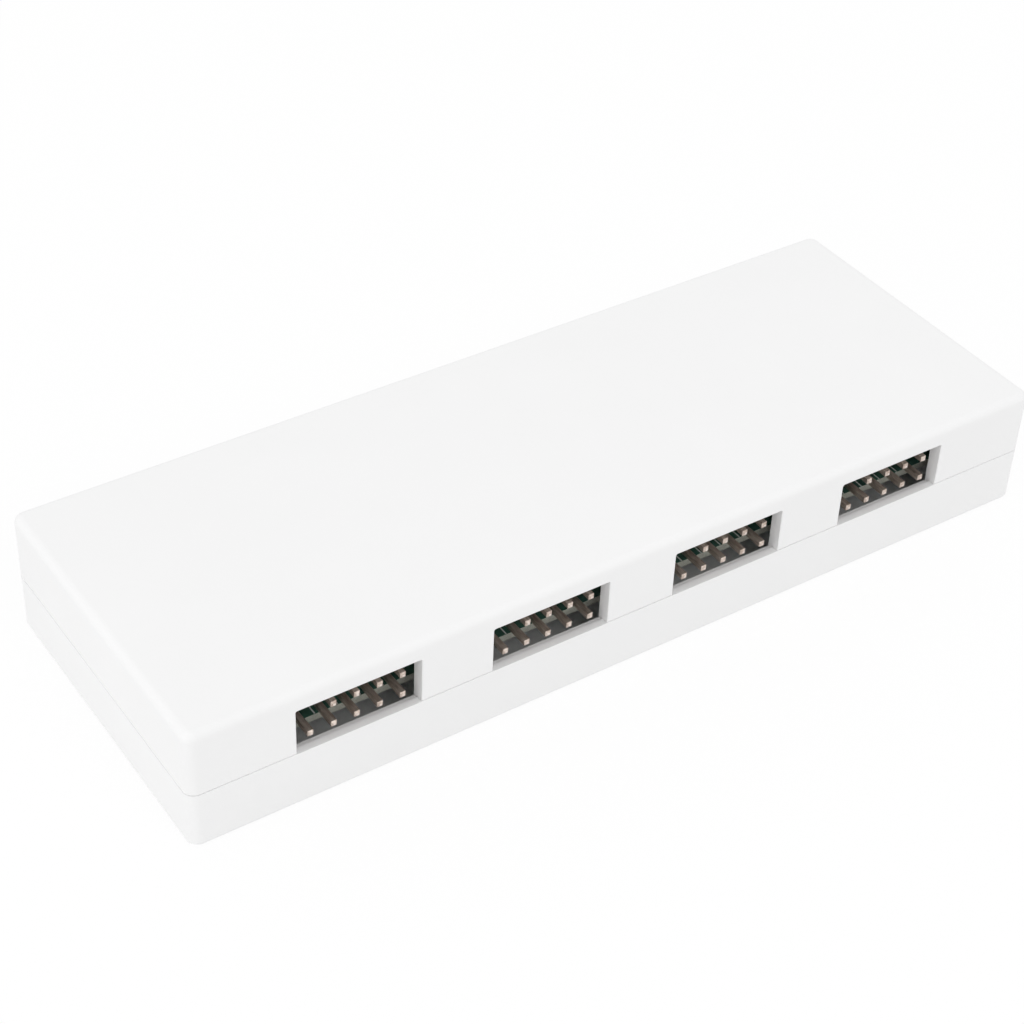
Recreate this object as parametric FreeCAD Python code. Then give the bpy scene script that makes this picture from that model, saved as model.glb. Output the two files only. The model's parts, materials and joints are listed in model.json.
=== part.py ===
import FreeCAD, Part
import math
import os

Vector = FreeCAD.Vector
Z_AXIS = Vector(0, 0, 1)
DIAGONAL = math.sqrt(0.5)
HALF_TURN = 180

# Internal USB hub in millimetres: a flat box of two snapped shells round one circuit board.
# Origin at the centre of the base, +X along the length, -Y towards the output slots, +Z up.

# Driving dimensions of the pin headers
pin_pitch = 2.54
pin_columns = 5
pin_rows = 2
pin_width = 0.64
pin_tip_chamfer = 0.18
pin_reach = 4.6
pin_bend_radius = 0.5
pin_tail_gap = 1.1
pin_tail_reach = 1.2
pin_fit = 0.02
header_depth = 2.54
header_cell_chamfer = 0.45

# Driving dimensions of the casing
port_count = 4
case_length = 104.0
case_depth = 38.0
port_shift = -0.7
post_width = 8.2
wall = 1.5
roof = 1.7
floor = 1.8
tray_height = 6.6
lintel = 0.55
corner_radius = 1.2
roof_edge_radius = 0.9
base_edge_radius = 0.35
seam_chamfer = 0.1
plug_side_gap = 0.55
plug_under_gap = 0.1
plug_over_gap = 0.27
slot_corner_radius = 0.2
slot_edge_chamfer = 0.08

# Driving dimensions of the shells' joint and the snap arms
lip_width = 0.8
ledge_drop = 0.3
joint_gap = 0.05
seam_gap = 0.025
arm_side_margin = 1.6
arm_thickness = 1.1
arm_gap = 0.1
arm_floor_gap = 0.4
nose_reach = 0.6
nose_height = 1.2
pocket_gap = 0.1

# Driving dimensions of the board and its screws
board_thickness = 0.8
board_lead = 1.25
board_side_gap = 0.4
board_corner_radius = 1.0
tip_setback = 0.45
pin_hole_gap = 0.05
hole_sides = 8
screw_inset = 4.0
screw_radius = 1.0
screw_length = 4.0
screw_head_radius = 1.9
screw_head_height = 1.3
screw_recess_width = 0.5
screw_recess_span = 1.9
screw_recess_depth = 0.7
screw_hole_gap = 0.15
pilot_gap = 0.02
pilot_tip_gap = 0.3
boss_wall = 1.2

# Driving dimensions of the power inlet
contact_count = 15
contact_pitch = 1.27
contact_width = 0.84
contact_thickness = 0.25
contact_setback = 0.6
contact_fit = 0.02
tongue_end = 0.76
tongue_thickness = 1.23
tongue_height = 2.5
tongue_reach = 5.1
key_height = 2.2
key_width = 1.2
guide_gap = 1.2
guide_width = 1.6
guide_chamfer = 0.6
inlet_height = 4.9
inlet_depth = 3.4
inlet_side_gap = 0.42
foot_gap = 0.6
foot_length = 1.0
peg_radius = 0.7
peg_length = 0.7
peg_gap = 0.05

# Driving dimensions of the parts on the board
chip_length = 9.9
chip_width = 3.9
chip_height = 1.45
chip_standoff = 0.1
chip_draft = 0.2
lead_pitch = 0.635
leads_per_side = 14
lead_width = 0.25
lead_thickness = 0.2
lead_span = 6.0
lead_shoulder = 0.35
crystal_length = 5.0
crystal_width = 3.2
crystal_base_height = 0.7
crystal_lid_height = 0.4
crystal_lid_inset = 0.25
crystal_corner_radius = 0.4
crystal_gap = 3.0
fuse_length = 4.5
fuse_width = 3.2
fuse_height = 0.8
fuse_notch_radius = 0.6
tank_length = 6.0
tank_width = 3.2
tank_height = 2.3
tank_draft = 0.25
tank_lift = 0.15
tab_width = 2.2
tab_foot = 1.3
chip_part_length = 1.6
chip_part_width = 0.8
chip_part_height = 0.55
chip_part_cap = 0.35
chip_part_cap_step = 0.06
part_gap = 0.7

# Sizes that follow from the driving dimensions
slot_width = pin_columns * pin_pitch + 2 * plug_side_gap
slot_height = pin_rows * pin_pitch + plug_under_gap + plug_over_gap
slot_pitch = slot_width + post_width
case_height = tray_height + slot_height + lintel + roof
ceiling = case_height - roof
slot_top = tray_height + slot_height
half_length = case_length / 2
half_depth = case_depth / 2
tongue_inset = lip_width + joint_gap
inner_radius = corner_radius - tongue_inset
ledge_z = tray_height - ledge_drop
port_x = [port_shift + (port - (port_count - 1) / 2) * slot_pitch for port in range(port_count)]
post_x = [x + slot_pitch / 2 for x in port_x[:-1]]

board_top = tray_height + plug_under_gap
board_bottom = board_top - board_thickness
header_setback = tip_setback + pin_reach
board_setback = header_setback - board_lead
board_half_length = half_length - wall - board_side_gap
board_half_depth = half_depth - board_setback
header_width = pin_columns * pin_pitch
header_height = pin_rows * pin_pitch
header_end = header_setback + header_depth + pin_tail_gap + pin_rows * pin_pitch

tongue_length = contact_count * contact_pitch + 2 * tongue_end
inlet_width = tongue_length + 2 * guide_gap + 2 * guide_width
inlet_slot_width = inlet_width + 2 * inlet_side_gap
inlet_setback = tip_setback + tongue_reach
input_x = post_x[-1]
power_x = post_x[0]

arm_width = post_width - 2 * arm_side_margin
arm_outer = wall + arm_gap
arm_inner = arm_outer + arm_thickness
arm_bottom = floor + arm_floor_gap
nose_top = arm_bottom + nose_height
screw_x = board_half_length - screw_inset
screw_y = board_half_depth - screw_inset
boss_radius = screw_radius + boss_wall


def block(x0, x1, y0, y1, z0, z1):
    """Return a box between two corners."""
    return Part.makeBox(x1 - x0, y1 - y0, z1 - z0, Vector(x0, y0, z0))


def prism(points, direction):
    """Return a closed outline pulled along a direction."""
    outline = Part.makePolygon(points + points[:1])
    return Part.Face(outline).extrude(direction)


def line(start, end):
    """Return a straight edge."""
    return Part.LineSegment(start, end).toShape()


def arc(start, middle, end):
    """Return an arc edge through three points."""
    return Part.Arc(start, middle, end).toShape()


def rounded_wire(half_x, half_y, radius, z):
    """Return a rectangle with rounded corners at a height."""
    across = half_x - radius
    along = half_y - radius
    centres = [(across, along), (-across, along), (-across, -along), (across, -along)]
    corners = []
    for quarter, (x, y) in enumerate(centres):
        start = quarter * math.pi / 2
        angles = (start, start + math.pi / 4, start + math.pi / 2)
        corners.append([
            Vector(x + radius * math.cos(angle), y + radius * math.sin(angle), z) for angle in angles
        ])
    outline = []
    for corner, following in zip(corners, corners[1:] + corners[:1]):
        outline.append(arc(*corner))
        outline.append(line(corner[-1], following[0]))
    return Part.Wire(outline)


def square_wire(half_x, half_y, z):
    """Return a rectangle with square corners at a height."""
    corners = [(half_x, half_y), (-half_x, half_y), (-half_x, -half_y), (half_x, -half_y)]
    points = [Vector(x, y, z) for x, y in corners]
    return Part.makePolygon(points + points[:1])


def rounded_plate(half_x, half_y, radius, z0, z1):
    """Return a plate with rounded corners between two heights."""
    return Part.Face(rounded_wire(half_x, half_y, radius, z0)).extrude(Vector(0, 0, z1 - z0))


def post(radius, height, foot):
    """Return an upright post or hole with few sides, as wide across its flats as a round one."""
    reach = radius / math.cos(math.pi / hole_sides)
    points = []
    for side in range(hole_sides):
        angle = (2 * side + 1) * math.pi / hole_sides
        points.append(foot + Vector(reach * math.cos(angle), reach * math.sin(angle), 0))
    return prism(points, Vector(0, 0, height))


def edges_at(shape, z):
    """Return the edges that lie wholly at one height."""
    tolerance = 1e-6
    return [edge for edge in shape.Edges
            if abs(edge.BoundBox.ZMin - z) < tolerance and abs(edge.BoundBox.ZMax - z) < tolerance]


def turned(shape, x, y, z, angle):
    """Return a copy turned about Z and then set at a point."""
    copy = shape.copy()
    copy.rotate(Vector(0, 0, 0), Z_AXIS, angle)
    copy.translate(Vector(x, y, z))
    return copy


def fused(shapes):
    """Return touching shapes joined into one solid."""
    return shapes[0].fuse(shapes[1:]).removeSplitter()


# The casing

def slot_places():
    """Return the width, place and turn of every slot."""
    front = [(slot_width, x, 0) for x in port_x]
    return front + [(slot_width, input_x, HALF_TURN), (inlet_slot_width, power_x, HALF_TURN)]


def slot_outline(width, spread, y):
    """Return the upright outline of a slot that is open at the bottom, widened by a spread."""
    half = width / 2 + spread
    top = slot_top + spread
    low = ledge_z - joint_gap - spread
    radius = slot_corner_radius + spread
    slant = radius * (1 - DIAGONAL)
    left_corner = (
        Vector(-half, y, top - radius),
        Vector(slant - half, y, top - slant),
        Vector(radius - half, y, top),
    )
    right_corner = [Vector(-point.x, y, point.z) for point in reversed(left_corner)]
    low_left = Vector(-half, y, low)
    low_right = Vector(half, y, low)
    return Part.Wire([
        line(low_left, left_corner[0]),
        arc(*left_corner),
        line(left_corner[2], right_corner[0]),
        arc(*right_corner),
        line(right_corner[2], low_right),
        line(low_right, low_left),
    ])


def slot_cutter(width):
    """Return the tool for one slot in the front wall, with a chamfered mouth."""
    face_y = -half_depth
    throat_y = face_y + slot_edge_chamfer
    end_y = face_y + 2 * wall
    throat = Part.Face(slot_outline(width, 0, throat_y)).extrude(Vector(0, end_y - throat_y, 0))
    mouth = Part.makeLoft([
        slot_outline(width, slot_edge_chamfer, face_y),
        slot_outline(width, 0, throat_y),
    ], True, True)
    return fused([throat, mouth])


def snap_arm():
    """Return one snap arm on the front wall, centred on X: a rib, a tongue and a hooked nose."""
    rib_bottom = tray_height + joint_gap
    nose_tip = arm_outer - nose_reach
    outline = [
        (wall, ceiling),
        (wall, rib_bottom),
        (arm_outer, rib_bottom),
        (arm_outer, nose_top),
        (nose_tip, nose_top),
        (nose_tip, nose_top - nose_height / 3),
        (arm_outer, arm_bottom),
        (arm_inner, arm_bottom),
        (arm_inner, ceiling),
    ]
    points = [Vector(-arm_width / 2, depth - half_depth, z) for depth, z in outline]
    return prism(points, Vector(arm_width, 0, 0))


def snap_pocket():
    """Return the tool for the pocket that takes one snap arm's nose."""
    half = arm_width / 2 + pocket_gap
    outer_y = arm_outer - nose_reach - pocket_gap - half_depth
    return block(-half, half, outer_y, arm_inner - half_depth, floor, nose_top + joint_gap)


def arm_places():
    """Return the place and turn of every snap arm: between the slots, and clear of the rear openings."""
    inner_end = half_length - wall
    power_edges = (power_x - inlet_slot_width / 2, power_x + inlet_slot_width / 2)
    input_edges = (input_x - slot_width / 2, input_x + slot_width / 2)
    rear_x = [
        (power_edges[0] - inner_end) / 2,
        (power_edges[1] + input_edges[0]) / 2,
        (input_edges[1] + inner_end) / 2,
    ]
    return [(x, 0) for x in post_x] + [(x, HALF_TURN) for x in rear_x]


def top_cover():
    """Return the cover: a rounded shell with a tongue, snap arms and notched slots."""
    seam_z = tray_height + seam_gap
    outside = rounded_plate(half_length, half_depth, corner_radius, seam_z, case_height)
    outside = outside.makeFillet(roof_edge_radius, edges_at(outside, case_height))
    outside = outside.makeChamfer(seam_chamfer, edges_at(outside, seam_z))
    tongue = rounded_plate(
        half_length - tongue_inset,
        half_depth - tongue_inset,
        inner_radius,
        ledge_z,
        tray_height + lintel,
    )
    hollow = rounded_plate(half_length - wall, half_depth - wall, inner_radius, ledge_z, ceiling)
    arms = [turned(snap_arm(), x, 0, 0, angle) for x, angle in arm_places()]
    shell = fused([fused([outside, tongue]).cut(hollow)] + arms)
    return shell.cut([turned(slot_cutter(width), x, 0, 0, angle) for width, x, angle in slot_places()])


def screw_places():
    """Return the four places of the board screws."""
    return [(x, y) for x in (-screw_x, screw_x) for y in (-screw_y, screw_y)]


def bottom_tray():
    """Return the tray: a shell with a stepped rim, screw bosses and pockets for the snap arms."""
    outside = rounded_plate(half_length, half_depth, corner_radius, 0, tray_height)
    outside = outside.makeFillet(base_edge_radius, edges_at(outside, 0))
    hollow = rounded_plate(half_length - wall, half_depth - wall, inner_radius, floor, tray_height)
    ledge = rounded_plate(
        half_length - lip_width,
        half_depth - lip_width,
        corner_radius - lip_width,
        ledge_z,
        tray_height,
    )
    shell = outside.cut([hollow, ledge])
    pilot_depth = screw_length - board_thickness + pilot_tip_gap
    bosses = []
    pilots = []
    for x, y in screw_places():
        bosses.append(post(boss_radius, board_bottom - floor, Vector(x, y, floor)))
        pilot_end = Vector(x, y, board_bottom - pilot_depth)
        pilots.append(post(screw_radius + pilot_gap, pilot_depth, pilot_end))
    pockets = [turned(snap_pocket(), x, 0, 0, angle) for x, angle in arm_places()]
    return fused([shell] + bosses).cut(pilots + pockets)


# The pin headers, each drawn with its board at z = 0 and the front of its body at y = 0

def header_positions():
    """Return the column and row of each pin: every place but the upper left, which is the key."""
    key = (0, pin_rows - 1)
    places = [(column, row) for column in range(pin_columns) for row in range(pin_rows)]
    return [place for place in places if place != key]


def column_x(column):
    """Return the X of a pin column from the header's middle."""
    return (column - (pin_columns - 1) / 2) * pin_pitch


def row_z(row):
    """Return the height of a pin row above the board."""
    return (row + 0.5) * pin_pitch


def tail_y(row):
    """Return how far behind the header's front face a row's tails go into the board."""
    return header_depth + pin_tail_gap + row * pin_pitch


def header_pin(row):
    """Return one square pin, bent down into the board across a slant, with both ends chamfered."""
    half = pin_width / 2
    axis_z = row_z(row)
    axis_y = tail_y(row)
    low = -board_thickness - pin_tail_reach
    bend_y = axis_y - half - pin_bend_radius
    bend_z = axis_z - half - pin_bend_radius
    outline = [
        (-pin_reach, axis_z + half),
        (bend_y, axis_z + half),
        (axis_y + half, bend_z),
        (axis_y + half, low),
        (axis_y - half, low),
        (axis_y - half, bend_z),
        (bend_y, axis_z - half),
        (-pin_reach, axis_z - half),
    ]
    pin = prism([Vector(-half, y, z) for y, z in outline], Vector(pin_width, 0, 0))
    tolerance = 1e-6
    ends = edges_at(pin, low)
    ends += [edge for edge in pin.Edges if edge.BoundBox.YMax < tolerance - pin_reach]
    return pin.makeChamfer(pin_tip_chamfer, ends)


def header_pins():
    """Return the pins of one header."""
    rows = [header_pin(row) for row in range(pin_rows)]
    return Part.makeCompound([
        turned(rows[row], column_x(column), 0, 0, 0) for column, row in header_positions()
    ])


def header_body():
    """Return the moulded body of one header, notched between its columns and bored for its pins."""
    top = []
    for column in range(pin_columns):
        left = column_x(column) - pin_pitch / 2
        right = column_x(column) + pin_pitch / 2
        top += [
            (left, header_height - header_cell_chamfer),
            (left + header_cell_chamfer, header_height),
            (right - header_cell_chamfer, header_height),
        ]
    top.append((header_width / 2, header_height - header_cell_chamfer))
    under = [(x, header_height - z) for x, z in reversed(top)]
    points = [Vector(x, 0, z) for x, z in top + under]
    body = prism(points, Vector(0, header_depth, 0))
    half = pin_width / 2 + pin_fit
    bores = []
    for column, row in header_positions():
        x = column_x(column)
        z = row_z(row)
        bores.append(block(x - half, x + half, 0, header_depth, z - half, z + half))
    return body.cut(bores)


# The power inlet, drawn like the headers, with its tongue towards -Y

def contact_x(contact):
    """Return the X of a contact from the inlet's middle."""
    return (contact - (contact_count - 1) / 2) * contact_pitch


tongue_top = tongue_height + tongue_thickness / 2
contact_end = inlet_depth + foot_gap


def inlet_body():
    """Return the inlet's moulding: a block with guide arms, a keyed tongue and two locating pegs."""
    half = inlet_width / 2
    inner = half - guide_width
    outline = [
        (-half, inlet_depth),
        (-half, guide_chamfer - tongue_reach),
        (guide_chamfer - half, -tongue_reach),
        (-inner, -tongue_reach),
        (-inner, 0),
        (inner, 0),
        (inner, -tongue_reach),
        (half - guide_chamfer, -tongue_reach),
        (half, guide_chamfer - tongue_reach),
        (half, inlet_depth),
    ]
    base = prism([Vector(x, y, 0) for x, y in outline], Vector(0, 0, inlet_height))
    tongue_half = tongue_length / 2
    tongue_under = tongue_top - tongue_thickness
    profile = [
        (-tongue_half, tongue_top),
        (-tongue_half, tongue_top - key_height),
        (key_width - tongue_half, tongue_top - key_height),
        (key_width - tongue_half, tongue_under),
        (tongue_half, tongue_under),
        (tongue_half, tongue_top),
    ]
    tongue = prism([Vector(x, -tongue_reach, z) for x, z in profile], Vector(0, tongue_reach, 0))
    pegs = []
    for x in (-inner, inner):
        pegs.append(post(peg_radius, peg_length, Vector(x, inlet_depth / 2, -peg_length)))
    moulding = fused([base, tongue] + pegs)
    width = contact_width / 2 + contact_fit
    low = tongue_top - contact_thickness - contact_fit
    high = tongue_top + contact_fit
    start = contact_setback - tongue_reach - contact_fit
    grooves = []
    for contact in range(contact_count):
        x = contact_x(contact)
        grooves.append(block(x - width, x + width, start, inlet_depth, low, high))
    return moulding.cut(grooves)


def inlet_contacts():
    """Return the contacts: flat strips along the tongue that drop to a foot on the board."""
    under = tongue_top - contact_thickness
    leg = contact_end + contact_thickness
    outline = [
        (contact_setback - tongue_reach, tongue_top),
        (contact_setback - tongue_reach, under),
        (contact_end, under),
        (contact_end, 0),
        (contact_end + foot_length, 0),
        (contact_end + foot_length, contact_thickness),
        (leg, contact_thickness),
        (leg, tongue_top),
    ]
    points = [Vector(-contact_width / 2, y, z) for y, z in outline]
    strip = prism(points, Vector(contact_width, 0, 0))
    places = [contact_x(contact) for contact in range(contact_count)]
    return Part.makeCompound([turned(strip, x, 0, 0, 0) for x in places])


# The board and what is soldered to it

header_places = [(x, header_setback - half_depth, 0) for x in port_x]
input_place = (input_x, half_depth - header_setback, HALF_TURN)
power_place = (power_x, half_depth - inlet_setback, HALF_TURN)


def on_board(shape, place):
    """Return a shape set on the board's top face at a place and turn."""
    x, y, angle = place
    return turned(shape, x, y, board_top, angle)


def circuit_board():
    """Return the board, drilled for the screws, the header tails and the inlet's pegs."""
    plate = rounded_plate(board_half_length, board_half_depth, board_corner_radius, board_bottom, board_top)
    hole_radius = pin_width * DIAGONAL + pin_hole_gap
    tails = []
    for column, row in header_positions():
        foot = Vector(column_x(column), tail_y(row), -board_thickness)
        tails.append(post(hole_radius, board_thickness, foot))
    tails = Part.makeCompound(tails)
    cutters = [on_board(tails, place) for place in header_places + [input_place]]
    peg_hole_radius = peg_radius + peg_gap
    for x in (guide_width - inlet_width / 2, inlet_width / 2 - guide_width):
        peg_hole = post(peg_hole_radius, board_thickness, Vector(x, inlet_depth / 2, -board_thickness))
        cutters.append(on_board(peg_hole, power_place))
    screw_hole_radius = screw_radius + screw_hole_gap
    for x, y in screw_places():
        cutters.append(post(screw_hole_radius, board_thickness, Vector(x, y, board_bottom)))
    return plate.cut(cutters)


def board_screws():
    """Return the screws: round flat heads with crossed recesses."""
    shank = post(screw_radius, screw_length, Vector(0, 0, -screw_length))
    head = Part.makeCylinder(screw_head_radius, screw_head_height)
    half = screw_recess_width / 2
    span = screw_recess_span / 2
    bottom = screw_head_height - screw_recess_depth
    recess = [
        block(-span, span, -half, half, bottom, screw_head_height),
        block(-half, half, -span, span, bottom, screw_head_height),
    ]
    screw = fused([shank, head]).cut(recess)
    return Part.makeCompound([on_board(screw, (x, y, 0)) for x, y in screw_places()])


chip_place = (post_x[len(post_x) // 2], 0, 0)
lead_z = chip_standoff + (chip_height - lead_thickness) / 2


def controller_body():
    """Return the controller's moulded body, drafted above and below the line of its leads."""
    half = chip_width / 2
    top = chip_standoff + chip_height
    outline = [
        (-half, lead_z),
        (chip_draft - half, chip_standoff),
        (half - chip_draft, chip_standoff),
        (half, lead_z),
        (half, lead_z + lead_thickness),
        (half - chip_draft, top),
        (chip_draft - half, top),
        (-half, lead_z + lead_thickness),
    ]
    points = [Vector(x, -chip_length / 2, z) for x, z in outline]
    return on_board(prism(points, Vector(0, chip_length, 0)), chip_place)


def controller_leads():
    """Return the controller's gull-wing leads."""
    start = chip_width / 2
    knee = start + lead_shoulder
    outline = [
        (start, lead_z + lead_thickness),
        (start, lead_z),
        (knee, lead_z),
        (knee, 0),
        (lead_span / 2, 0),
        (lead_span / 2, lead_thickness),
        (knee + lead_thickness, lead_thickness),
        (knee + lead_thickness, lead_z + lead_thickness),
    ]
    lead = prism([Vector(x, -lead_width / 2, z) for x, z in outline], Vector(0, lead_width, 0))
    leads = []
    for angle in (0, HALF_TURN):
        for number in range(leads_per_side):
            y = (number - (leads_per_side - 1) / 2) * lead_pitch
            leads.append(on_board(turned(turned(lead, 0, y, 0, 0), 0, 0, 0, angle), chip_place))
    return Part.makeCompound(leads)


resistor_y = header_end - half_depth + chip_part_width / 2
fuse_y = resistor_y + chip_part_width / 2 + part_gap + fuse_width / 2
tank_y = fuse_y + fuse_width / 2 + part_gap + tank_width / 2
crystal_x = chip_place[0] + lead_span / 2 + crystal_gap + crystal_length / 2
crystal_y = tank_y + tank_width / 2 + part_gap + crystal_width / 2
crystal_place = (crystal_x, crystal_y, 0)


def crystal_base():
    """Return the crystal's ceramic base, with a notch down each corner."""
    half_x = crystal_length / 2
    half_y = crystal_width / 2
    base = block(-half_x, half_x, -half_y, half_y, 0, crystal_base_height)
    corners = [Vector(x, y, 0) for x in (-half_x, half_x) for y in (-half_y, half_y)]
    base = base.cut([post(crystal_corner_radius, crystal_base_height, corner) for corner in corners])
    return on_board(base, crystal_place)


def crystal_lid():
    """Return the crystal's metal lid."""
    lid = rounded_plate(
        crystal_length / 2 - crystal_lid_inset,
        crystal_width / 2 - crystal_lid_inset,
        crystal_corner_radius,
        crystal_base_height,
        crystal_base_height + crystal_lid_height,
    )
    return on_board(lid, crystal_place)


def chip_part():
    """Return one small chip part, its two capped ends standing a little proud."""
    half = chip_part_length / 2
    step = half - chip_part_cap
    waist = chip_part_height - chip_part_cap_step
    outline = [
        (-half, 0),
        (half, 0),
        (half, chip_part_height),
        (step, chip_part_height),
        (step, waist),
        (-step, waist),
        (-step, chip_part_height),
        (-half, chip_part_height),
    ]
    points = [Vector(x, -chip_part_width / 2, z) for x, z in outline]
    return prism(points, Vector(0, chip_part_width, 0))


def line_resistors():
    """Return the resistors in the data lines, a pair behind each output header."""
    offset = chip_part_length
    return Part.makeCompound([
        on_board(chip_part(), (x + side * offset, resistor_y, 0)) for x in port_x for side in (-1, 1)
    ])


def bypass_capacitors():
    """Return the small capacitors round the controller, a pair beyond each end."""
    offset = chip_length / 2 + part_gap + chip_part_width / 2
    side_step = chip_part_length / 2 + part_gap / 2
    x, y, angle = chip_place
    places = [(x + side * side_step, y + end * offset, angle) for end in (-1, 1) for side in (-1, 1)]
    return Part.makeCompound([on_board(chip_part(), place) for place in places])


def port_fuses():
    """Return the resettable fuses: flat plates with a half-round notch in each end."""
    half = fuse_length / 2
    plate = block(-half, half, -fuse_width / 2, fuse_width / 2, 0, fuse_height)
    notches = [post(fuse_notch_radius, fuse_height, Vector(x, 0, 0)) for x in (-half, half)]
    fuse = plate.cut(notches)
    return Part.makeCompound([on_board(fuse, (x, fuse_y, 0)) for x in port_x])


def port_capacitors():
    """Return the tank capacitors: moulded bodies with drafted sides."""
    half_x = tank_length / 2
    half_y = tank_width / 2
    tank_top = tank_lift + tank_height
    body = Part.makeLoft([
        square_wire(half_x, half_y, tank_lift),
        square_wire(half_x - tank_draft, half_y - tank_draft, tank_top),
    ], True, True)
    return Part.makeCompound([on_board(body, (x, tank_y, 0)) for x in port_x])


def capacitor_terminals():
    """Return the capacitors' flat terminals, which lie between the bodies and the board."""
    half = tank_length / 2
    tab = block(half - tab_foot, half, -tab_width / 2, tab_width / 2, 0, tank_lift)
    pair = [turned(tab, 0, 0, 0, angle) for angle in (0, HALF_TURN)]
    return Part.makeCompound([on_board(piece, (x, tank_y, 0)) for x in port_x for piece in pair])


def all_nodes():
    """Return every piece by name."""
    nodes = {
        "top_cover": top_cover(),
        "bottom_tray": bottom_tray(),
        "circuit_board": circuit_board(),
        "board_screws": board_screws(),
        "input_header_body": on_board(header_body(), input_place),
        "input_header_pins": on_board(header_pins(), input_place),
        "power_inlet_body": on_board(inlet_body(), power_place),
        "power_inlet_contacts": on_board(inlet_contacts(), power_place),
        "hub_controller_body": controller_body(),
        "hub_controller_leads": controller_leads(),
        "crystal_base": crystal_base(),
        "crystal_lid": crystal_lid(),
        "line_resistors": line_resistors(),
        "bypass_capacitors": bypass_capacitors(),
        "port_fuses": port_fuses(),
        "port_capacitors": port_capacitors(),
        "capacitor_terminals": capacitor_terminals(),
    }
    for number, place in enumerate(header_places, start=1):
        nodes[f"output_header_{number}_body"] = on_board(header_body(), place)
        nodes[f"output_header_{number}_pins"] = on_board(header_pins(), place)
    return nodes


os.makedirs("parts", exist_ok=True)
for name, shape in all_nodes().items():
    shape.exportStep(os.path.join("parts", name + ".step"))
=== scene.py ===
import json
import math

import bmesh
import bpy
from mathutils import Matrix, Vector


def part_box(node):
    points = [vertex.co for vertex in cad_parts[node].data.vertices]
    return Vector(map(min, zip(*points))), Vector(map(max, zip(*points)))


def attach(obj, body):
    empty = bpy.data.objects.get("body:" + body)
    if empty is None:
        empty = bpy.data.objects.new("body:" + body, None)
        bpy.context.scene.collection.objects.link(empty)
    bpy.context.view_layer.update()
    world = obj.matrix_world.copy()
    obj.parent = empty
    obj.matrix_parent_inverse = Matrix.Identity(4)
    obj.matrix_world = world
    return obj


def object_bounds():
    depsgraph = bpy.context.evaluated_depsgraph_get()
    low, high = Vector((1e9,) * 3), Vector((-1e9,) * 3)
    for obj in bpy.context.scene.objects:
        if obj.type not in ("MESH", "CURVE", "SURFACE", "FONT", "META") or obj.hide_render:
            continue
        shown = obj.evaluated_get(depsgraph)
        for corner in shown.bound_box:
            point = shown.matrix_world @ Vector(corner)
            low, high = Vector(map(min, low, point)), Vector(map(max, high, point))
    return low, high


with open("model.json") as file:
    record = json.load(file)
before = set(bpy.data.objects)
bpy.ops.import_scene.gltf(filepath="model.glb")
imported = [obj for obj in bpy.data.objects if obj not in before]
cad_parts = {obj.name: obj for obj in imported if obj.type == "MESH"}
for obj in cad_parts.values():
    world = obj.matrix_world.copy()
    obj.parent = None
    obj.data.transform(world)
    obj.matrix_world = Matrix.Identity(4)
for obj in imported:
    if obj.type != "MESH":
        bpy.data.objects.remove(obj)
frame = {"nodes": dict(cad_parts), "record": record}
cad_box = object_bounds()
nodes = frame["nodes"]

# An internal USB hub: the imported solids get their finishes, the board thin pale lines beside its
# pins, and the stage its light. Lengths are in millimetres unless a name says otherwise.

MM = 0.001
WHITE = (1.0, 1.0, 1.0, 1.0)
SQUARE = ((-1, -1), (1, -1), (1, 1), (-1, 1))

# Camera, at the photograph's viewing angle
CAMERA_PLACE = (-112.95, -155.16, 159.90)
CAMERA_AZIMUTH = math.radians(35.12)
CAMERA_DROP = math.radians(38.78)
CAMERA_ROLL = math.radians(2.58)
CAMERA_LENS = 80.475
CAMERA_CLIP_START = 10
SENSOR_WIDTH = 36.0

# Floor and light
FLOOR_SIZE_METRES = 4.0
FLOOR_OPENING_INSET = 0.3
FLOOR_COLOUR = (0.85, 0.85, 0.85, 1.0)
FLOOR_SHADE_SHARE = 0.12
WORLD_STRENGTH = 0.92
SHOWN_STRENGTH = 1.0
LAMP_SIZE = 250
LEFT_LAMP = dict(place=(-450, 0, 50), target=(0, 0, 10), power=0.3)
FRONT_LAMP = dict(place=(20, -400, 420), target=(0, 0, 0), power=0.27)

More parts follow.
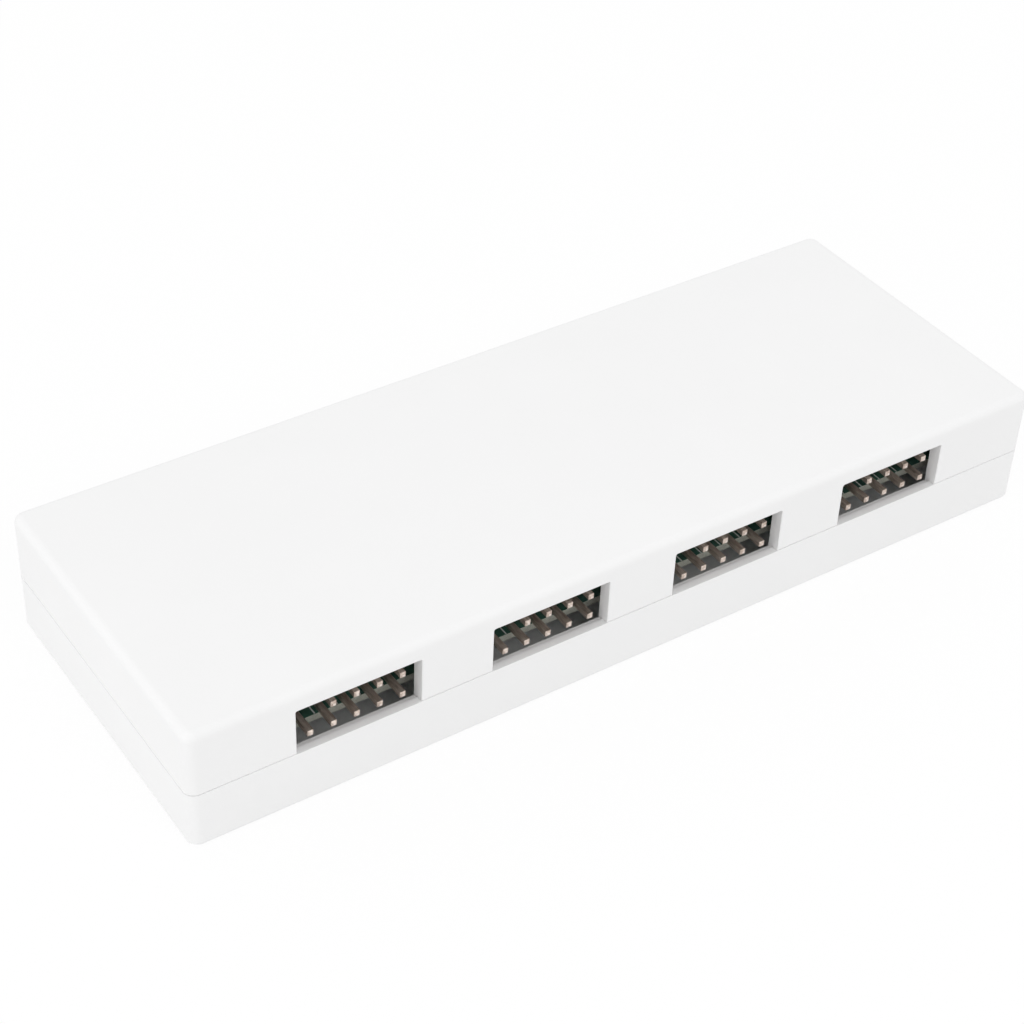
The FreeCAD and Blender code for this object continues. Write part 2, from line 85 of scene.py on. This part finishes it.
# Finish of each slot: the colour and how far it varies, the size of its patches, then the
# grain of the surface with the range of its roughness and the strength of its relief
FINISHES = {
    "casing": dict(
        colour=(0.92, 0.92, 0.92), contrast=0.006, patch=9.0,
        grain=0.16, roughness=(0.6, 0.72), relief=0.12),
    "black_plastic": dict(
        colour=(0.015, 0.015, 0.016), contrast=0.2, patch=0.8,
        grain=0.12, roughness=(0.4, 0.6), relief=0.25),
    "plated_contacts": dict(
        colour=(0.85, 0.63, 0.28), contrast=0.05, patch=0.8,
        grain=0.1, roughness=(0.2, 0.32), relief=0.08, metallic=1.0),
    "steel": dict(
        colour=(0.55, 0.55, 0.56), contrast=0.06, patch=0.6,
        grain=0.08, roughness=(0.28, 0.42), relief=0.12, metallic=1.0),
    "epoxy": dict(
        colour=(0.025, 0.025, 0.027), contrast=0.2, patch=0.7,
        grain=0.08, roughness=(0.5, 0.68), relief=0.3),
    "tin": dict(
        colour=(0.72, 0.72, 0.7), contrast=0.05, patch=0.5,
        grain=0.06, roughness=(0.3, 0.45), relief=0.15, metallic=1.0),
    "ceramic_tan": dict(
        colour=(0.42, 0.32, 0.22), contrast=0.08, patch=0.4,
        grain=0.05, roughness=(0.4, 0.55), relief=0.2),
    "ceramic_dark": dict(
        colour=(0.05, 0.05, 0.055), contrast=0.15, patch=0.5,
        grain=0.05, roughness=(0.3, 0.45), relief=0.15),
    "fuse_laminate": dict(
        colour=(0.05, 0.16, 0.07), contrast=0.12, patch=0.5,
        grain=0.06, roughness=(0.4, 0.55), relief=0.2),
    "tank_resin": dict(
        colour=(0.7, 0.4, 0.06), contrast=0.08, patch=0.9,
        grain=0.08, roughness=(0.35, 0.5), relief=0.15),
}
# Finish of the thin pale lines laid on the board beside each pin column
LINE_FINISH = dict(
    colour=(0.8, 0.84, 0.81), contrast=0.08, patch=0.3,
    grain=0.04, roughness=(0.5, 0.65), relief=0.2)
MOTTLE_DARK = 0.25
MOTTLE_PALE = 0.75
NOISE_DETAIL = 3.0
RELIEF_DEPTH_SHARE = 0.25

# Plated pins: streaked sides and pale cut tips
PIN_STREAK_SCALE = (1.0, 0.2, 1.0)
PIN_STREAK = 0.3
PIN_SIDE_STOPS = [(0.3, (0.46, 0.37, 0.31)), (0.7, (0.76, 0.67, 0.6))]
PIN_TIP_PATCH = 0.2
PIN_TIP_STOPS = [(0.3, (0.7, 0.62, 0.56)), (0.7, (0.8, 0.72, 0.67))]
PIN_TIP_FACING = 0.8
PIN_GRAIN = 0.1
PIN_ROUGHNESS = (0.42, 0.58)
PIN_RELIEF = 0.1

# Board: solder mask on the faces and laminate round the edge
MASK_PATCH = 1.6
MASK_STOPS = [(0.35, (0.045, 0.115, 0.085)), (0.7, (0.06, 0.16, 0.12))]
LAMINATE_PATCH = 0.12
LAMINATE_STOPS = [(0.3, (0.45, 0.46, 0.4)), (0.7, (0.6, 0.61, 0.54))]
BOARD_GRAIN = 0.2
BOARD_ROUGHNESS = (0.25, 0.4)
BOARD_RELIEF = 0.1
BOARD_RELIEF_DEPTH = 0.03

# Thin pale lines on the board, one beside each pin column
LINE_WIDTH = 0.15
LINE_THICKNESS = 0.02
LINE_EDGE_GAP = 0.05
LINE_OFFSET = 0.28
PIN_PITCH = 2.54
OUTPUT_HEADERS = 4
BOX_FACES = ((3, 2, 1, 0), (4, 5, 6, 7), (0, 1, 5, 4), (1, 2, 6, 5), (2, 3, 7, 6), (3, 0, 4, 7))


# Shader helpers

def new_material(name):
    """Return a new material with its node tree and its shader."""
    material = bpy.data.materials.new(name)
    material.use_nodes = True
    tree = material.node_tree
    return material, tree, tree.nodes["Principled BSDF"]


def object_coordinates(tree):
    """Return the output that gives each point's place in metres."""
    return tree.nodes.new("ShaderNodeTexCoord").outputs["Object"]


def noise(tree, grain, place=None):
    """Return the output of a noise whose grains are about a given size."""
    texture = tree.nodes.new("ShaderNodeTexNoise")
    texture.inputs["Scale"].default_value = 1.0 / (grain * MM)
    texture.inputs["Detail"].default_value = NOISE_DETAIL
    if place is None:
        place = object_coordinates(tree)
    tree.links.new(place, texture.inputs["Vector"])
    return texture.outputs["Fac"]


def ramp(tree, source, stops):
    """Return a colour output that runs through the two stops as the source runs from 0 to 1."""
    node = tree.nodes.new("ShaderNodeValToRGB")
    for element, (position, colour) in zip(node.color_ramp.elements, stops):
        element.position = position
        element.color = (*colour, 1.0)
    tree.links.new(source, node.inputs["Fac"])
    return node.outputs["Color"]


def spread(tree, source, low, high, start=0.0):
    """Return a value output that maps the source from start..1 to low..high."""
    node = tree.nodes.new("ShaderNodeMapRange")
    node.inputs["From Min"].default_value = start
    node.inputs["To Min"].default_value = low
    node.inputs["To Max"].default_value = high
    tree.links.new(source, node.inputs["Value"])
    return node.outputs["Result"]


def facing(tree, axis):
    """Return an output that is 1 on faces square to an axis and 0 on faces along it."""
    geometry = tree.nodes.new("ShaderNodeNewGeometry")
    parts = tree.nodes.new("ShaderNodeSeparateXYZ")
    tree.links.new(geometry.outputs["Normal"], parts.inputs["Vector"])
    share = tree.nodes.new("ShaderNodeMath")
    share.operation = "ABSOLUTE"
    tree.links.new(parts.outputs[axis], share.inputs[0])
    return share.outputs["Value"]


def blend(tree, share, first, second):
    """Return a colour output that runs from the first colour to the second with the share."""
    mix = tree.nodes.new("ShaderNodeMix")
    mix.data_type = "RGBA"
    tree.links.new(share, mix.inputs["Factor"])
    tree.links.new(first, mix.inputs["A"])
    tree.links.new(second, mix.inputs["B"])
    return mix.outputs["Result"]


def set_surface(tree, shader, grain, roughness, relief, depth, metallic=0.0):
    """Give the shader an uneven gloss and a fine relief of one grain."""
    fine = noise(tree, grain)
    tree.links.new(spread(tree, fine, *roughness), shader.inputs["Roughness"])
    bump = tree.nodes.new("ShaderNodeBump")
    bump.inputs["Strength"].default_value = relief
    bump.inputs["Distance"].default_value = depth * MM
    tree.links.new(fine, bump.inputs["Height"])
    tree.links.new(bump.outputs["Normal"], shader.inputs["Normal"])
    shader.inputs["Metallic"].default_value = metallic


def shade(colour, factor):
    """Return a colour with its three parts multiplied by a factor."""
    return tuple(part * factor for part in colour)


# Materials, one for each slot of the record

def mottled(name, colour, contrast, patch, grain, roughness, relief, metallic=0.0):
    """Return a material with a mottled colour, an uneven gloss and a fine relief."""
    material, tree, shader = new_material(name)
    stops = [(MOTTLE_DARK, shade(colour, 1 - contrast)), (MOTTLE_PALE, shade(colour, 1 + contrast))]
    tree.links.new(ramp(tree, noise(tree, patch), stops), shader.inputs["Base Color"])
    set_surface(tree, shader, grain, roughness, relief, grain * RELIEF_DEPTH_SHARE, metallic)
    return material


def pin_material():
    """Return plating that is streaked along the pins and paler on their cut tips."""
    material, tree, shader = new_material("plated_pins")
    stretch = tree.nodes.new("ShaderNodeMapping")
    stretch.inputs["Scale"].default_value = PIN_STREAK_SCALE
    tree.links.new(object_coordinates(tree), stretch.inputs["Vector"])
    streaks = noise(tree, PIN_STREAK, stretch.outputs["Vector"])
    sides = ramp(tree, streaks, PIN_SIDE_STOPS)
    tips = ramp(tree, noise(tree, PIN_TIP_PATCH), PIN_TIP_STOPS)
    cut = spread(tree, facing(tree, "Y"), 0.0, 1.0, PIN_TIP_FACING)
    tree.links.new(blend(tree, cut, sides, tips), shader.inputs["Base Color"])
    depth = PIN_GRAIN * RELIEF_DEPTH_SHARE
    set_surface(tree, shader, PIN_GRAIN, PIN_ROUGHNESS, PIN_RELIEF, depth, metallic=1.0)
    return material


def board_material():
    """Return green solder mask on the board's faces and bare laminate round its cut edge."""
    material, tree, shader = new_material("board")
    mask = ramp(tree, noise(tree, MASK_PATCH), MASK_STOPS)
    laminate = ramp(tree, noise(tree, LAMINATE_PATCH), LAMINATE_STOPS)
    colour = blend(tree, facing(tree, "Z"), laminate, mask)
    tree.links.new(colour, shader.inputs["Base Color"])
    set_surface(tree, shader, BOARD_GRAIN, BOARD_ROUGHNESS, BOARD_RELIEF, BOARD_RELIEF_DEPTH)
    return material


def finish_nodes():
    """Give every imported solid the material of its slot."""
    materials = {slot: mottled(slot, **finish) for slot, finish in FINISHES.items()}
    materials["plated_pins"] = pin_material()
    materials["board"] = board_material()
    for subpart in frame["record"]["subparts"]:
        piece = nodes[subpart["node"]]
        piece.data.materials.clear()
        piece.data.materials.append(materials[subpart["material_slot"]])


# Thin pale lines on the board, one beside each pin column

def add_object(name, data):
    """Add an object to the scene and return it."""
    item = bpy.data.objects.new(name, data)
    bpy.context.scene.collection.objects.link(item)
    return item


def mesh_data(name, mesh):
    """Return the data of a finished mesh."""
    data = bpy.data.meshes.new(name)
    mesh.to_mesh(data)
    mesh.free()
    return data


def add_strip(mesh, x0, x1, y0, y1, z0, z1):
    """Add one flat thin strip between two corners."""
    outline = ((x0, y0), (x1, y0), (x1, y1), (x0, y1))
    points = [mesh.verts.new((x, y, z)) for z in (z0, z1) for x, y in outline]
    for face in BOX_FACES:
        mesh.faces.new([points[index] for index in face])


def make_board_lines():
    """Add a thin pale line beside each pin column in front of the output headers."""
    mesh = bmesh.new()
    board_low, board_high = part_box("circuit_board")
    half = LINE_WIDTH * MM / 2
    bottom = board_high[2]
    top = bottom + LINE_THICKNESS * MM
    start = board_low[1] + LINE_EDGE_GAP * MM
    for number in range(1, OUTPUT_HEADERS + 1):
        low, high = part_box(f"output_header_{number}_body")
        columns = round((high[0] - low[0]) / (PIN_PITCH * MM))
        for column in range(columns):
            x = low[0] + ((column + 0.5) * PIN_PITCH - LINE_OFFSET) * MM
            add_strip(mesh, x - half, x + half, start, low[1], bottom, top)
    piece = add_object("board_lines", mesh_data("board_lines", mesh))
    piece.data.materials.append(mottled("board_lines", **LINE_FINISH))
    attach(piece, "root")


# Stage

def seen_directly(tree):
    """Return an output that is 1 for what the camera sees, also through a mirror or glass."""
    path = tree.nodes.new("ShaderNodeLightPath")
    seen = path.outputs["Is Camera Ray"]
    for kind in ("Is Glossy Ray", "Is Transmission Ray"):
        either = tree.nodes.new("ShaderNodeMath")
        either.operation = "MAXIMUM"
        tree.links.new(seen, either.inputs[0])
        tree.links.new(path.outputs[kind], either.inputs[1])
        seen = either.outputs["Value"]
    return seen


def floor_material():
    """Return a pale matte finish that looks white to the camera and keeps the object's shadow."""
    material = bpy.data.materials.new("floor")
    material.use_nodes = True
    tree = material.node_tree
    tree.nodes.clear()
    output = tree.nodes.new("ShaderNodeOutputMaterial")
    lit = tree.nodes.new("ShaderNodeBsdfDiffuse")
    lit.inputs["Color"].default_value = FLOOR_COLOUR
    white = tree.nodes.new("ShaderNodeEmission")
    white.inputs["Color"].default_value = WHITE
    shadowed = tree.nodes.new("ShaderNodeBsdfDiffuse")
    shadowed.inputs["Color"].default_value = WHITE
    blank = tree.nodes.new("ShaderNodeMixShader")
    blank.inputs["Fac"].default_value = FLOOR_SHADE_SHARE
    tree.links.new(white.outputs["Emission"], blank.inputs[1])
    tree.links.new(shadowed.outputs["BSDF"], blank.inputs[2])
    shown = tree.nodes.new("ShaderNodeMixShader")
    tree.links.new(seen_directly(tree), shown.inputs["Fac"])
    tree.links.new(lit.outputs["BSDF"], shown.inputs[1])
    tree.links.new(blank.outputs["Shader"], shown.inputs[2])
    tree.links.new(shown.outputs["Shader"], output.inputs["Surface"])
    return material


def make_floor():
    """Add the floor, open under the object so that it shares no place with the underside."""
    mesh = bmesh.new()
    half = FLOOR_SIZE_METRES / 2
    inset = FLOOR_OPENING_INSET * MM
    opening_x, opening_y = cad_box[1][0] - inset, cad_box[1][1] - inset
    outer = [mesh.verts.new((half * x, half * y, 0)) for x, y in SQUARE]
    inner = [mesh.verts.new((opening_x * x, opening_y * y, 0)) for x, y in SQUARE]
    for corner in range(len(SQUARE)):
        after = (corner + 1) % len(SQUARE)
        mesh.faces.new([outer[corner], outer[after], inner[after], inner[corner]])
    floor = add_object("floor", mesh_data("floor", mesh))
    floor.data.materials.append(floor_material())


def make_world():
    """Light the scene from all round, and show white to the camera."""
    world = bpy.data.worlds.new("studio")
    world.use_nodes = True
    bpy.context.scene.world = world
    tree = world.node_tree
    background = tree.nodes["Background"]
    background.inputs["Color"].default_value = WHITE
    strength = spread(tree, seen_directly(tree), WORLD_STRENGTH, SHOWN_STRENGTH)
    tree.links.new(strength, background.inputs["Strength"])


def make_lamp(name, place, target, power):
    """Add a square soft light that faces a target."""
    light = bpy.data.lights.new(name, "AREA")
    light.size = LAMP_SIZE * MM
    light.energy = power
    lamp = add_object(name, light)
    lamp.location = Vector(place) * MM
    aim = Vector(target) - Vector(place)
    lamp.rotation_euler = aim.to_track_quat("-Z", "Y").to_euler()


def make_camera():
    """Add the camera."""
    data = bpy.data.cameras.new("camera")
    data.sensor_fit = "HORIZONTAL"
    data.sensor_width = SENSOR_WIDTH
    data.lens = CAMERA_LENS
    data.clip_start = CAMERA_CLIP_START * MM
    camera = add_object("camera", data)
    place = Matrix.Translation(Vector(CAMERA_PLACE) * MM)
    turn = Matrix.Rotation(-CAMERA_AZIMUTH, 4, "Z")
    tilt = Matrix.Rotation(math.pi / 2 - CAMERA_DROP, 4, "X")
    roll = Matrix.Rotation(CAMERA_ROLL, 4, "Z")
    camera.matrix_world = place @ turn @ tilt @ roll
    bpy.context.scene.camera = camera


finish_nodes()
make_board_lines()
make_floor()
make_world()
make_lamp("left_lamp", **LEFT_LAMP)
make_lamp("front_lamp", **FRONT_LAMP)
make_camera()
bpy.context.scene.view_settings.view_transform = "Standard"
